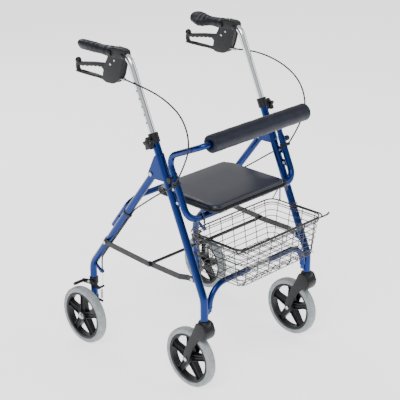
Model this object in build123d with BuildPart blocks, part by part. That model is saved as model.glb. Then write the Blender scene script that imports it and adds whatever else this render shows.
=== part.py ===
from build123d import *
import os
from math import atan2, cos, degrees, radians, sin, tan

# Four-wheeled folding rollator with seat, backrest, basket and cable brakes.
# Millimetres. The floor is Z = 0, the front is -Y, the user's left is +X, and the origin
# lies on the floor under the middle of the walker.

# ---------------------------------------------------------------- driving dimensions
WHEEL_R = 100.0
WHEEL_W = 28.0
RIM_R = 83.0
LEG_X = 243.0                          # both pairs of legs stand in the planes X = +-LEG_X
REAR_WHEEL_X = 290.0                   # the rear wheels run outside the rear legs
FRONT_Y = -257.0                       # caster swivel axis and front uprights
CASTER_TRAIL = 62.0                    # swivel axis to caster wheel axle
REAR_AXLE_Y = 268.0
LEAN = 23.4                            # front legs lean back this much from the vertical
KNEE_Z = 320.0                         # front leg bends here from upright to leaning
FRONT_LEG_TOP_Z = 806.0
FRONT_TUBE = 25.0                      # outside diameters of the tubes
REAR_TUBE = 24.4
SUPPORT_TUBE = 22.0
HANDLE_TUBE = 22.0
BACKREST_TUBE = 19.0
CROSS_TUBE = 19.0
WALL = 1.2
SLIDE_GAP = 0.3                        # radial gap of a tube that slides in another
RUN = 0.05                             # radial gap of a running fit
PIVOT_Y, PIVOT_Z = -49.0, 683.0        # fold pivot of the rear legs
REAR_KNEE_Z = 277.0                    # rear leg bends here from slanting to upright
BRACE_FRONT = (-209.0, 375.0)          # brace pivots, as (Y, Z)
BRACE_MIDDLE = (-31.0, 375.0)
BRACE_REAR = (180.0, 386.0)
HANDLE_Z = 1031.0                      # height of the level handlebar ends
GRIP_START_Y, GRIP_END_Y, GRIP_R = 138.0, 270.0, 16.5
KNOB_Z = 785.0                         # star knobs on the leg collars
SEAT_TUBE_Y, SEAT_TUBE_Z = -193.7, 562.0
SEAT_HALF, SEAT_FRONT_Y, SEAT_REAR_Y = 172.0, -238.0, 48.0
SEAT_BOTTOM_Z, SEAT_TOP_Z = 575.0, 599.0
BACK_PAD_Y, BACK_PAD_Z, BACK_PAD_R, BACK_PAD_HALF = -257.0, 817.0, 28.0, 213.0
LOCK_Z = 688.0                         # backrest lock knobs
FRONT_BAR_Z = 357.0
BASKET_RIM_Z, BASKET_FLOOR_Z = 500.0, 368.0
BAIL_Y = -235.0
CABLE_R = 2.5
WIRE_R = 0.8
BOLT_R = 4.0
SCREW_R = 3.0
BRAKE_Y, BRAKE_Z = 268.0, 213.0        # brake arm pivot
SHOE_Y, SHOE_Z, SHOE_R = 302.0, 207.0, 5.5
TAIL_Y, TAIL_Z = 222.0, 205.0          # where the brake wire pulls the brake arm
LEVER_Y, LEVER_Z = 123.0, 995.0        # brake lever pivot
SIDES = {"left": 1, "right": -1}

SLOPE = tan(radians(LEAN))
UP = Vector(0, sin(radians(LEAN)), cos(radians(LEAN)))
REAR_SLOPE = (REAR_AXLE_Y - PIVOT_Y) / (PIVOT_Z - REAR_KNEE_Z)
REAR_TILT = degrees(atan2(REAR_AXLE_Y - PIVOT_Y, PIVOT_Z - REAR_KNEE_Z))
REAR_DOWN = Vector(0, sin(radians(REAR_TILT)), -cos(radians(REAR_TILT)))
REAR_BACK = Vector(0, cos(radians(REAR_TILT)), sin(radians(REAR_TILT)))
CASTER_AXLE_Y = FRONT_Y + CASTER_TRAIL
TAB_HEIGHTS = (612, 652)               # spacer plates between seat support and legs

# Routes of the brake cables on the user's left, as (X, Y, Z).
UPPER_ROUTE = [(244, 69, 954), (258, 20, 956), (262, -38, 953), (262, -95, 943), (262, -143, 926),
               (261, -183, 902), (261, -208, 868), (261, -219, 828), (261, -214, 788), (260, -197, 750),
               (260, -175, 708), (260, -152, 672)]
LOWER_ROUTE = [(260, -150, 670.5), (260, -120, 650), (260, -85, 628), (258, -45, 600), (253, -2, 569),
               (243, 46.8, 535.6), (243, 222, 311), (243, 222, 266)]

os.makedirs("parts", exist_ok=True)


# ---------------------------------------------------------------- helpers
def keep(made, node):
    """Label a finished piece and write it under its node's name."""
    made.part.label = node
    export_step(made.part, f"parts/{node}.step")


def leg_y(z):
    """Y of a front leg's centre line above its knee."""
    return FRONT_Y + (z - KNEE_Z) * SLOPE


def arm_y(z):
    """Y of the centre line of a seat support arm."""
    return SEAT_TUBE_Y + (z - SEAT_TUBE_Z) * SLOPE


def tab_y(z):
    """Y of the bolt in a spacer plate, midway between arm and leg."""
    return (arm_y(z) + leg_y(z)) / 2


def rear_y(z):
    """Y of a rear leg's centre line above its knee."""
    return PIVOT_Y + (PIVOT_Z - z) * REAR_SLOPE


def across(x, y=0.0, z=0.0):
    """Plane square to X, so that its sketch is drawn in Y and Z."""
    return Plane(origin=(x, y, z), x_dir=(0, 1, 0), z_dir=(1, 0, 0))


def sweep_tube(points, bends, outer, wall=0.0, mode=Mode.ADD):
    """Round tube, or a rod where wall is 0, along straight runs joined by arcs."""
    with BuildLine() as route:
        if bends:
            FilletPolyline(*points, radius=bends)
        else:
            Line(*points)
    with BuildSketch(Plane(origin=route.line @ 0, z_dir=route.line % 0)) as section:
        Circle(outer)
        if wall:
            Circle(outer - wall, mode=Mode.SUBTRACT)
    sweep(section.sketch, path=route.line, mode=mode)


def ring(origin, direction, outer, inner, length, mode=Mode.ADD):
    """Straight round bar or sleeve from a point along a direction."""
    with BuildSketch(Plane(origin=origin, z_dir=direction)) as section:
        Circle(outer)
        if inner:
            Circle(inner, mode=Mode.SUBTRACT)
    extrude(section.sketch, amount=length, mode=mode)


def pin(x0, x1, y, z, radius, mode=Mode.ADD):
    """Round bar along X."""
    ring((min(x0, x1), y, z), (1, 0, 0), radius, 0, abs(x1 - x0), mode)


def plate(x0, x1, points, mode=Mode.ADD):
    """Flat plate between two X planes with a straight-sided outline in Y and Z."""
    with BuildSketch(across(min(x0, x1))) as outline:
        with BuildLine():
            Polyline(*points, close=True)
        make_face()
    extrude(outline.sketch, amount=abs(x1 - x0), mode=mode)


def hull_plate(x0, x1, circles, mode=Mode.ADD):
    """Flat plate between two X planes that wraps circles given as (Y, Z, radius)."""
    with BuildSketch(across(min(x0, x1))) as outline:
        for y, z, radius in circles:
            with Locations((y, z)):
                Circle(radius)
        make_hull()
    extrude(outline.sketch, amount=abs(x1 - x0), mode=mode)


def bolt(x0, x1, y, z, radius=BOLT_R, head=4.0):
    """Bolt along X: a shank between two X planes with a hexagon beyond each."""
    low, high = min(x0, x1), max(x0, x1)
    pin(low - head / 2, high + head / 2, y, z, radius)
    for face in (low - head, high):
        with BuildSketch(across(face, y, z)) as hexagon:
            RegularPolygon(radius * 1.7, 6)
        extrude(hexagon.sketch, amount=head)


def cable_radii(route):
    """Bend radii of a cable: as large as the two runs beside each corner allow."""
    radii = []
    for before, corner, after in zip(route, route[1:], route[2:]):
        first = Vector(*corner) - Vector(*before)
        second = Vector(*after) - Vector(*corner)
        shorter = min(first.length, second.length)
        radii.append(0.45 * shorter / tan(radians(first.get_angle(second) / 2)))
    return radii


def side_route(route, s):
    """A cable's route on one side of the walker."""
    return [(s * x, y, z) for x, y, z in route]


# ---------------------------------------------------------------- front legs
# Steel tubes, upright over the casters and then leaning back up to the handle collars.
# A bush for the caster stem is pressed into the lower end, and the front brace bolts to a tab.
with BuildPart() as front_legs:
    for s in SIDES.values():
        x = s * LEG_X
        sweep_tube([(x, FRONT_Y, 252), (x, FRONT_Y, KNEE_Z), (x, leg_y(FRONT_LEG_TOP_Z), FRONT_LEG_TOP_Z)],
                   [90], FRONT_TUBE / 2, WALL)
        ring((x, FRONT_Y, 252), (0, 0, 1), FRONT_TUBE / 2 - WALL / 2, 6 + RUN, 28)
        by, bz = BRACE_FRONT
        plate(s * (LEG_X - 6.5), s * (LEG_X - 2.5),
              [(leg_y(358) + 12.1, 358), (leg_y(392) + 12.1, 392), (by + 8, bz + 7), (by + 8, bz - 8),
               (by - 1, bz - 12)])
        pin(s * LEG_X, s * (LEG_X + 20), leg_y(KNOB_Z), KNOB_Z, 3.4, Mode.SUBTRACT)
    pin(-LEG_X, LEG_X, *BRACE_FRONT, BOLT_R, Mode.SUBTRACT)
keep(front_legs, "front_legs")

# Plastic collar on each leg's open top, with a boss for the screw of the star knob.
with BuildPart() as leg_collars:
    for s in SIDES.values():
        foot = Vector(s * LEG_X, leg_y(FRONT_LEG_TOP_Z), FRONT_LEG_TOP_Z) - UP * 26
        ring(foot, UP, FRONT_TUBE / 2 + 3.5, 0, 31)
        pin(s * LEG_X, s * (LEG_X + 20), leg_y(KNOB_Z), KNOB_Z, 9.5)
        ring(foot - UP * 12, UP, FRONT_TUBE / 2 + 0.05, 0, 38, Mode.SUBTRACT)
        ring(foot, UP, HANDLE_TUBE / 2 + SLIDE_GAP, 0, 40, Mode.SUBTRACT)
        pin(s * LEG_X, s * (LEG_X + 30), leg_y(KNOB_Z), KNOB_Z, SCREW_R + RUN, Mode.SUBTRACT)
keep(leg_collars, "leg_collars")

# Folded sheet bracket wrapped round each front leg; its cheeks hold the rear leg's top.
with BuildPart() as hinge_brackets:
    inner = FRONT_TUBE / 2 + 0.15
    outer = inner + 2.5
    for s in SIDES.values():
        foot = Plane(origin=(s * LEG_X, leg_y(672), 672), x_dir=(1, 0, 0), z_dir=UP)
        with BuildSketch(foot):
            Circle(outer)
            with Locations((0, 40)):
                Rectangle(2 * outer, 80)
            Circle(inner, mode=Mode.SUBTRACT)
            with Locations((0, 40)):
                Rectangle(2 * inner, 81, mode=Mode.SUBTRACT)
        extrude(amount=84, both=True)
    hull_plate(-280, 280, [(leg_y(689), 689, 17), (leg_y(734), 734, 17), (PIVOT_Y, PIVOT_Z, 13)],
               Mode.INTERSECT)
    pin(-280, 280, PIVOT_Y, PIVOT_Z, BOLT_R, Mode.SUBTRACT)
keep(hinge_brackets, "hinge_brackets")

# Arched cross bar between the front uprights, welded on through two gusset plates.
with BuildPart() as front_cross_bar:
    end_x = LEG_X - FRONT_TUBE / 2 - CROSS_TUBE / 2 - 1.5
    sweep_tube([(-end_x, FRONT_Y, 286), (-end_x, FRONT_Y, FRONT_BAR_Z), (end_x, FRONT_Y, FRONT_BAR_Z),
                (end_x, FRONT_Y, 286)], [66, 66], CROSS_TUBE / 2, WALL)
    for s in SIDES.values():
        with BuildSketch(Plane.XZ.offset(-FRONT_Y - 2)):
            with BuildLine():
                Polyline((s * (LEG_X - 12.6), 262), (s * (end_x - 8), 272), (s * (end_x - 8), 300),
                         (s * (end_x + 10), 322), (s * (LEG_X - 12.6), 322), close=True)
            make_face()
        extrude(amount=4)
keep(front_cross_bar, "front_cross_bar")

# U-shaped seat support. Its cross part carries the seat's front edge, spacer plates tie its
# arms to the legs, and the arms' open tops take the backrest bar.
with BuildPart() as seat_support_tube:
    top_z = 702.0
    sweep_tube([(-LEG_X, arm_y(top_z), top_z), (-LEG_X, SEAT_TUBE_Y, SEAT_TUBE_Z),
                (LEG_X, SEAT_TUBE_Y, SEAT_TUBE_Z), (LEG_X, arm_y(top_z), top_z)], [40, 40],
               SUPPORT_TUBE / 2, WALL)
    for s in SIDES.values():
        for z in TAB_HEIGHTS:
            plate(s * (LEG_X - 2), s * (LEG_X + 2),
                  [(arm_y(z - 10) + 11, z - 10), (leg_y(z - 10), z - 10), (leg_y(z + 10), z + 10),
                   (arm_y(z + 10) + 11, z + 10)])
            pin(s * (LEG_X - 5), s * (LEG_X + 5), tab_y(z), z, SCREW_R, Mode.SUBTRACT)
        ring((s * LEG_X, leg_y(580), 580), UP, FRONT_TUBE / 2, 0, 120, Mode.SUBTRACT)
        pin(s * (LEG_X + 10.6), s * (LEG_X + 15), arm_y(LOCK_Z), LOCK_Z, 7)
        pin(s * LEG_X, s * (LEG_X + 20), arm_y(LOCK_Z), LOCK_Z, SCREW_R + RUN, Mode.SUBTRACT)
keep(seat_support_tube, "seat_support_tube")

# Clips that hold the brake cables to the outer sides of the support arms.
with BuildPart() as cable_clips:
    for s in SIDES.values():
        upper, lower = side_route(UPPER_ROUTE, s), side_route(LOWER_ROUTE, s)
        foot = Vector(s * LEG_X, arm_y(668), 668)
        ring(foot, UP, SUPPORT_TUBE / 2 + 1.8, 0, 9)
        pin(s * (LEG_X + 8), s * (LEG_X + 21.5), -151, 671.5, 5.5)
        ring(foot - UP * 20, UP, SUPPORT_TUBE / 2, 0, 50, Mode.SUBTRACT)
        sweep_tube(upper[-2:], None, CABLE_R + 0.4, mode=Mode.SUBTRACT)
        sweep_tube([upper[-1], lower[1]], None, CABLE_R + 0.4, mode=Mode.SUBTRACT)
keep(cable_clips, "cable_clips")

# Bolts of the root frame: fold pivots, brace tabs and seat support tabs.
with BuildPart() as frame_bolts:
    for s in SIDES.values():
        bolt(s * (LEG_X - 15.2), s * (LEG_X + 15.2), PIVOT_Y, PIVOT_Z)
        bolt(s * (LEG_X - 6.5), s * (LEG_X + 2.4), *BRACE_FRONT)
        for z in TAB_HEIGHTS:
            bolt(s * (LEG_X - 2), s * (LEG_X + 2), tab_y(z), z, SCREW_R, 3)
keep(frame_bolts, "frame_bolts")

# ---------------------------------------------------------------- rear frame
# Rear legs: slanting tubes that swing on the brackets, upright beside the wheels. A bent
# strip with an eye, welded to the front of each, is the stop for the cable's sheath.
with BuildPart() as rear_legs:
    for s in SIDES.values():
        x = s * LEG_X
        leg_top = PIVOT_Z + 10
        sweep_tube([(x, rear_y(leg_top), leg_top), (x, REAR_AXLE_Y, REAR_KNEE_Z), (x, REAR_AXLE_Y, 82)],
                   [70], REAR_TUBE / 2, WALL)
        anchor_edge = [(256.4, 276), (256.4, 284), (250, 280), (228, 265), (222, 265), (222, 257), (230, 257)]
        plate(s * (LEG_X - 4), s * (LEG_X + 4), anchor_edge)
        ring((x, TAIL_Y, 257), (0, 0, 1), 7, 0, 8)
        ring((x, TAIL_Y, 250), (0, 0, 1), 1.6, 0, 20, Mode.SUBTRACT)
    pin(-280, 280, PIVOT_Y, PIVOT_Z, BOLT_R + RUN, Mode.SUBTRACT)
    pin(-280, 280, REAR_AXLE_Y, WHEEL_R, BOLT_R, Mode.SUBTRACT)
keep(rear_legs, "rear_legs")

# Rear cross tube under the seat's back edge, bent down behind the legs to gusset plates.
with BuildPart() as rear_cross_tube:
    tube_x = LEG_X - 17
    back = REAR_BACK * 24
    corner_z, foot_z = 561.0, 440.0
    corner_y = rear_y(corner_z - back.Z) + back.Y
    foot_y = rear_y(foot_z - back.Z) + back.Y
    sweep_tube([(-tube_x, foot_y, foot_z), (-tube_x, corner_y, corner_z), (tube_x, corner_y, corner_z),
                (tube_x, foot_y, foot_z)], [48, 48], CROSS_TUBE / 2, WALL)
    for s in SIDES.values():
        start = Vector(0, rear_y(470), 470)
        corners = [start, start + back, start + back + REAR_DOWN * 40, start + REAR_DOWN * 66]
        plate(s * (LEG_X - 5), s * (LEG_X - 10), [(c.Y, c.Z) for c in corners])
        ring((s * LEG_X, rear_y(500), 500), REAR_DOWN, REAR_TUBE / 2, 0, 150, Mode.SUBTRACT)
keep(rear_cross_tube, "rear_cross_tube")

# Rear axles: a bolt through wheel and leg, with a spacer sleeve, a washer and a nut.
with BuildPart() as rear_axles:
    for s in SIDES.values():
        bolt(s * (LEG_X - 12.3), s * (REAR_WHEEL_X + 18), REAR_AXLE_Y, WHEEL_R)
        pin(s * (LEG_X + 12.3), s * (REAR_WHEEL_X - 17), REAR_AXLE_Y, WHEEL_R, 8)
        pin(s * (REAR_WHEEL_X + 17), s * (REAR_WHEEL_X + 18.4), REAR_AXLE_Y, WHEEL_R, 9)
keep(rear_axles, "rear_axles")

# Clamp bands on the rear legs: brace pivot, cable clip, brake pivot and spring anchor.
with BuildPart() as brake_mounts:
    band = REAR_TUBE / 2
    for s in SIDES.values():
        x = s * LEG_X
        for z, length, thick in ((BRACE_REAR[1] + 5, 14, 2.2), (518, 8, 2.0)):
            ring(Vector(x, rear_y(z), z), REAR_DOWN, band + thick, 0, length)
        ring(Vector(x, rear_y(518), 518) - REAR_BACK * (band + CABLE_R + 0.5), REAR_DOWN, 4.6, 0, 8)
        ring(Vector(x, rear_y(550), 550), REAR_DOWN, band, 0, 260, Mode.SUBTRACT)
        sweep_tube(side_route(LOWER_ROUTE, s)[-3:-1], None, CABLE_R + RUN, mode=Mode.SUBTRACT)
        ring((x, REAR_AXLE_Y, BRAKE_Z - 11), (0, 0, 1), band + 2.8, band, 24)
        ring((x, REAR_AXLE_Y, 148), (0, 0, 1), band + 2, band, 10)
        pin(s * (LEG_X + 13), s * (LEG_X + 15.5), BRAKE_Y, BRAKE_Z, 8)
        plate(s * (LEG_X + 5), s * (LEG_X + 9), [(256.4, 149), (256.4, 157), (217, 157), (217, 150)])
        pin(s * (LEG_X + 12.3), s * (LEG_X + 16), BRAKE_Y, BRAKE_Z, BOLT_R, Mode.SUBTRACT)
keep(brake_mounts, "brake_mounts")

# Pivot screws of the brake arms.
with BuildPart() as rear_frame_bolts:
    for s in SIDES.values():
        pin(s * (LEG_X + 12.4), s * (LEG_X + 20), BRAKE_Y, BRAKE_Z, BOLT_R)
        with BuildSketch(across(s * (LEG_X + 22) - 2, BRAKE_Y, BRAKE_Z)):
            RegularPolygon(BOLT_R * 1.7, 6)
        extrude(amount=4)
keep(rear_frame_bolts, "rear_frame_bolts")

# Extension springs that pull the brake arms off the tyres.
with BuildPart() as brake_springs:
    for s in SIDES.values():
        ring((s * (LEG_X + 7), TAIL_Y, 157.5), (0, 0, 1), 4, 0, TAIL_Z - 4.5 - 157.5)
keep(brake_springs, "brake_springs")

# Brake arm: a flat lever beside the leg, with a bar over the tyre and a pulled tail.
shoe_x = LEG_X + 15.8
for side, s in SIDES.items():
    with BuildPart() as brake_shoe:
        hull_plate(s * shoe_x, s * (shoe_x + 4), [(BRAKE_Y, BRAKE_Z, 9), (SHOE_Y, SHOE_Z, 7)])
        hull_plate(s * shoe_x, s * (shoe_x + 4), [(BRAKE_Y, BRAKE_Z, 9), (TAIL_Y, TAIL_Z, 5.5)])
        pin(s * shoe_x, s * (REAR_WHEEL_X + 12), SHOE_Y, SHOE_Z, SHOE_R)
        pin(s * (LEG_X - 4), s * shoe_x, TAIL_Y, TAIL_Z, 4)
        pin(s * (shoe_x - 2), s * (shoe_x + 6), BRAKE_Y, BRAKE_Z, BOLT_R + RUN, Mode.SUBTRACT)
    keep(brake_shoe, f"brake_shoe_{side}")

# Lower brake cables: sheathed from the clip to the eye, then the bare wire to the brake arm.
for side, s in SIDES.items():
    route = side_route(LOWER_ROUTE, s)
    with BuildPart() as brake_cable_lower:
        sweep_tube(route, cable_radii(route), CABLE_R)
        ring((s * LEG_X, TAIL_Y, TAIL_Z + 4), (0, 0, 1), WIRE_R, 0, 262 - TAIL_Z - 4)
    keep(brake_cable_lower, f"brake_cable_lower_{side}")

# ---------------------------------------------------------------- folding braces
# Front bars: flat steel, bolted to the leg tabs and stepped outwards to clear the legs.
outer_layer = LEG_X + 11
with BuildPart() as front_braces:
    for s in SIDES.values():
        y0, y1 = BRACE_FRONT[0], BRACE_MIDDLE[0]
        outline = [(LEG_X - 2, y0 - 10), (LEG_X + 2, y0 - 10), (LEG_X + 2, y0 + 20),
                   (outer_layer + 4, y0 + 46),
                   (outer_layer + 4, y1 + 10), (outer_layer, y1 + 10), (outer_layer, y0 + 47),
                   (LEG_X - 2, y0 + 21)]
        with BuildSketch(Plane.XY.offset(BRACE_FRONT[1] - 9)):
            with BuildLine():
                Polyline(*[(s * px, py) for px, py in outline], close=True)
            make_face()
        extrude(amount=18)
    hull_plate(-280, 280, [(*BRACE_FRONT, 9), (*BRACE_MIDDLE, 9)], Mode.INTERSECT)
    pin(-280, 280, *BRACE_FRONT, BOLT_R + RUN, Mode.SUBTRACT)
    pin(-280, 280, *BRACE_MIDDLE, BOLT_R, Mode.SUBTRACT)
keep(front_braces, "front_braces")

# Rod that joins the two sides at the middle of the braces; its ends are the middle pivots.
with BuildPart() as brace_rod:
    pin(-outer_layer, outer_layer, *BRACE_MIDDLE, 5)
    pin(-outer_layer - 9, outer_layer + 9, *BRACE_MIDDLE, BOLT_R)
    for s in SIDES.values():
        pin(s * (outer_layer + 8.7), s * (outer_layer + 12), *BRACE_MIDDLE, 7)
keep(brace_rod, "brace_rod")

# Rear bars, from the rod to the clamp bands on the rear legs.
bar_x = outer_layer + 4.3
with BuildPart() as rear_braces:
    for s in SIDES.values():
        hull_plate(s * bar_x, s * (bar_x + 4), [(*BRACE_MIDDLE, 9), (*BRACE_REAR, 9)])
    pin(-280, 280, *BRACE_MIDDLE, BOLT_R + RUN, Mode.SUBTRACT)
    pin(-280, 280, *BRACE_REAR, BOLT_R, Mode.SUBTRACT)
keep(rear_braces, "rear_braces")

# Bolts at the rear ends of the braces.
with BuildPart() as brace_bolts:
    for s in SIDES.values():
        pin(s * (bar_x - 0.4), s * (bar_x + 5), *BRACE_REAR, BOLT_R)
        with BuildSketch(across(s * (bar_x + 6) - 2, *BRACE_REAR)):
            RegularPolygon(BOLT_R * 1.7, 6)
        extrude(amount=4)
keep(brace_bolts, "brace_bolts")


# ---------------------------------------------------------------- wheels
def wheel_profile_plane(x, y):
    """Half-plane through a wheel's axle in which its ring profiles are drawn."""
    return Plane(origin=(x, y, WHEEL_R), x_dir=(1, 0, 0), z_dir=(0, -1, 0))


def wheel(x, y, name):
    """One wheel: grey tyre, five-spoked hub and the two bearings pressed into the hub."""
    axle = Axis((x, y, WHEEL_R), (1, 0, 0))
    with BuildPart() as tyre:
        with BuildSketch(wheel_profile_plane(x, y)) as section:
            with Locations((0, (RIM_R + WHEEL_R) / 2)):
                Rectangle(WHEEL_W, WHEEL_R - RIM_R)
            fillet(section.vertices().group_by(Axis.Y)[-1], 9)
        revolve(axis=axle)
    keep(tyre, f"{name[0]}_tyre_{name[1]}")
    with BuildPart() as hub:
        ring((x - 13, y, WHEEL_R), (1, 0, 0), RIM_R, 74, 26)
        ring((x - 16.7, y, WHEEL_R), (1, 0, 0), 17, 0, 33.4)
        for step in range(5):
            angle = radians(90 + 72 * step)
            uy, uz = cos(angle), sin(angle)
            inner, outer = (y + 12 * uy, WHEEL_R + 12 * uz), (y + 74 * uy, WHEEL_R + 74 * uz)
            hull_plate(x - 6, x + 6, [(*inner, 11), (*outer, 7)])
            hull_plate(x - 10, x + 10, [(*inner, 2), (*outer, 2)])
        ring((x - 20, y, WHEEL_R), (1, 0, 0), 6, 0, 40, Mode.SUBTRACT)
        for start in (x - 16.7, x + 9.7):
            ring((start, y, WHEEL_R), (1, 0, 0), 11, 0, 7, Mode.SUBTRACT)
    keep(hub, f"{name[0]}_hub_{name[1]}")
    with BuildPart() as bearings:
        for start in (x - 16.7, x + 9.7):
            ring((start, y, WHEEL_R), (1, 0, 0), 11, BOLT_R + RUN, 7)
    keep(bearings, f"{name[0]}_bearings_{name[1]}")


for side, s in SIDES.items():
    wheel(s * REAR_WHEEL_X, REAR_AXLE_Y, ("rear", side))
    wheel(s * LEG_X, CASTER_AXLE_Y, ("caster", side))

# Caster fork: moulded crown round the stem, and an arm on each side of the wheel.
for side, s in SIDES.items():
    x = s * LEG_X
    with BuildPart() as caster_fork:
        ring((x, FRONT_Y, 224), (0, 0, 1), 19, 0, 26)
        hull_plate(x - 22, x + 22, [(FRONT_Y, 226, 19), (FRONT_Y + 3, 216, 17)])
        for face in (x - 22, x + 17):
            hull_plate(face, face + 5, [(FRONT_Y, 224, 21), (FRONT_Y - 2, 196, 14)])
            hull_plate(face, face + 5, [(FRONT_Y, 222, 18), (CASTER_AXLE_Y, WHEEL_R, 14)])
        ring((x, FRONT_Y, 200), (0, 0, 1), 6, 0, 60, Mode.SUBTRACT)
        pin(x - 30, x + 30, CASTER_AXLE_Y, WHEEL_R, BOLT_R, Mode.SUBTRACT)
    keep(caster_fork, f"caster_fork_{side}")
    # Stem with its retaining nut, and the axle bolt.
    with BuildPart() as caster_bolts:
        ring((x, FRONT_Y, 212), (0, 0, 1), 6, 0, 82)
        ring((x, FRONT_Y, 281), (0, 0, 1), 10, 0, 8)
        bolt(x - 22, x + 22, CASTER_AXLE_Y, WHEEL_R)
    keep(caster_bolts, f"caster_bolts_{side}")

# ---------------------------------------------------------------- seat
def seat_outline(inset):
    """Seat outline seen from above: square front corners and rounder rear ones."""
    depth = SEAT_REAR_Y - SEAT_FRONT_Y - 2 * inset
    with BuildSketch() as outline:
        with Locations((0, (SEAT_REAR_Y + SEAT_FRONT_Y) / 2)):
            Rectangle(2 * (SEAT_HALF - inset), depth)
        fillet(outline.vertices().group_by(Axis.Y)[0], 30 - inset)
        fillet(outline.vertices().group_by(Axis.Y)[-1], 55 - inset)
    return outline.sketch


with BuildPart() as seat_board:
    with BuildSketch(Plane.XY.offset(SEAT_BOTTOM_Z)):
        add(seat_outline(3.5))
    extrude(amount=8)
keep(seat_board, "seat_board")

with BuildPart() as seat_pad:
    with BuildSketch(Plane.XY.offset(SEAT_BOTTOM_Z + 1)):
        add(seat_outline(0))
    extrude(amount=SEAT_TOP_Z - SEAT_BOTTOM_Z - 1)
    fillet(seat_pad.edges().group_by(Axis.Z)[-1], 7)
    with BuildSketch(Plane.XY.offset(SEAT_BOTTOM_Z)):
        add(seat_outline(3.5))
    extrude(amount=8, mode=Mode.SUBTRACT)
keep(seat_pad, "seat_pad")

# Clips under the board that turn on the cross part of the seat support.
with BuildPart() as seat_clips:
    for x in (-98, 98):
        ring((x - 14, SEAT_TUBE_Y, SEAT_TUBE_Z), (1, 0, 0), SUPPORT_TUBE / 2 + 1.9, 0, 28)
        plate(x - 14, x + 14, [(SEAT_TUBE_Y - 30, SEAT_BOTTOM_Z - 2.5),
                               (SEAT_TUBE_Y + 30, SEAT_BOTTOM_Z - 2.5),
                               (SEAT_TUBE_Y + 30, SEAT_BOTTOM_Z), (SEAT_TUBE_Y - 30, SEAT_BOTTOM_Z)])
        ring((x - 20, SEAT_TUBE_Y, SEAT_TUBE_Z), (1, 0, 0), SUPPORT_TUBE / 2 + RUN, 0, 40, Mode.SUBTRACT)
keep(seat_clips, "seat_clips")

# ---------------------------------------------------------------- backrest
# Bent bar that plugs into the support arms, with a round foam pad on its cross part.
with BuildPart() as backrest_bar:
    low_z, bend_z = 640.0, 752.0
    half = [(LEG_X, arm_y(low_z), low_z), (LEG_X, arm_y(bend_z), bend_z), (LEG_X, BACK_PAD_Y, BACK_PAD_Z)]
    other = [(-x, y, z) for x, y, z in reversed(half)]
    sweep_tube(half + other, [35, 28, 28, 35], BACKREST_TUBE / 2, WALL)
keep(backrest_bar, "backrest_bar")

with BuildPart() as backrest_pad:
    pin(-BACK_PAD_HALF, BACK_PAD_HALF, BACK_PAD_Y, BACK_PAD_Z, BACK_PAD_R)
    fillet(backrest_pad.edges().filter_by(GeomType.CIRCLE), 8)
    pin(-BACK_PAD_HALF, BACK_PAD_HALF, BACK_PAD_Y, BACK_PAD_Z, BACKREST_TUBE / 2, Mode.SUBTRACT)
keep(backrest_pad, "backrest_pad")

# Knob screws that clamp the backrest bar in the support arms.
for side, s in SIDES.items():
    with BuildPart() as lock_knob:
        pin(s * (LEG_X + 9.8), s * (LEG_X + 18), arm_y(LOCK_Z), LOCK_Z, SCREW_R)
        pin(s * (LEG_X + 15.3), s * (LEG_X + 28), arm_y(LOCK_Z), LOCK_Z, 9)
    keep(lock_knob, f"lock_knob_{side}")

# ---------------------------------------------------------------- basket
RIM_HALF, RIM_BACK, RIM_FRONT = 190.0, -143.0, -361.0
FLOOR_HALF, FLOOR_BACK, FLOOR_FRONT = 172.0, -160.0, -345.0


def basket_level(z, half, back, front, radius):
    """Rounded outline of the basket at one height."""
    with BuildSketch(Plane.XY.offset(z)) as level:
        with Locations((0, (back + front) / 2)):
            RectangleRounded(2 * half, back - front, radius)
    return level.sketch


# Tapered basket with a thick rim, hooked over the seat support and resting above the bar.
with BuildPart() as basket:
    loft([basket_level(BASKET_FLOOR_Z, FLOOR_HALF, FLOOR_BACK, FLOOR_FRONT, 24),
          basket_level(BASKET_RIM_Z, RIM_HALF, RIM_BACK, RIM_FRONT, 30)])
    extrude(basket_level(BASKET_RIM_Z - 3, RIM_HALF + 3, RIM_BACK + 3, RIM_FRONT - 3, 33), amount=6)
    loft([basket_level(BASKET_FLOOR_Z + 3, FLOOR_HALF - 3, FLOOR_BACK - 3, FLOOR_FRONT + 3, 21),
          basket_level(BASKET_RIM_Z + 4, RIM_HALF - 3, RIM_BACK - 3, RIM_FRONT + 3, 27)], mode=Mode.SUBTRACT)
    for s in SIDES.values():
        reach = SUPPORT_TUBE / 2 + 2.9
        with BuildLine():
            Line((s * RIM_HALF, SEAT_TUBE_Y + reach, BASKET_RIM_Z),
                 (s * RIM_HALF, SEAT_TUBE_Y + reach, SEAT_TUBE_Z))
            ThreePointArc((s * RIM_HALF, SEAT_TUBE_Y + reach, SEAT_TUBE_Z),
                          (s * RIM_HALF, SEAT_TUBE_Y, SEAT_TUBE_Z + reach),
                          (s * RIM_HALF, SEAT_TUBE_Y - reach, SEAT_TUBE_Z))
            Line((s * RIM_HALF, SEAT_TUBE_Y - reach, SEAT_TUBE_Z), (s * RIM_HALF, SEAT_TUBE_Y - reach, 544))
        with BuildSketch(Plane(origin=(s * RIM_HALF, SEAT_TUBE_Y + reach, BASKET_RIM_Z), z_dir=(0, 0, 1))):
            Circle(2.5)
        sweep()
        pin(s * (RIM_HALF + 1), s * (RIM_HALF + 10), BAIL_Y, BASKET_RIM_Z, 2.5)
keep(basket, "basket")

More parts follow.
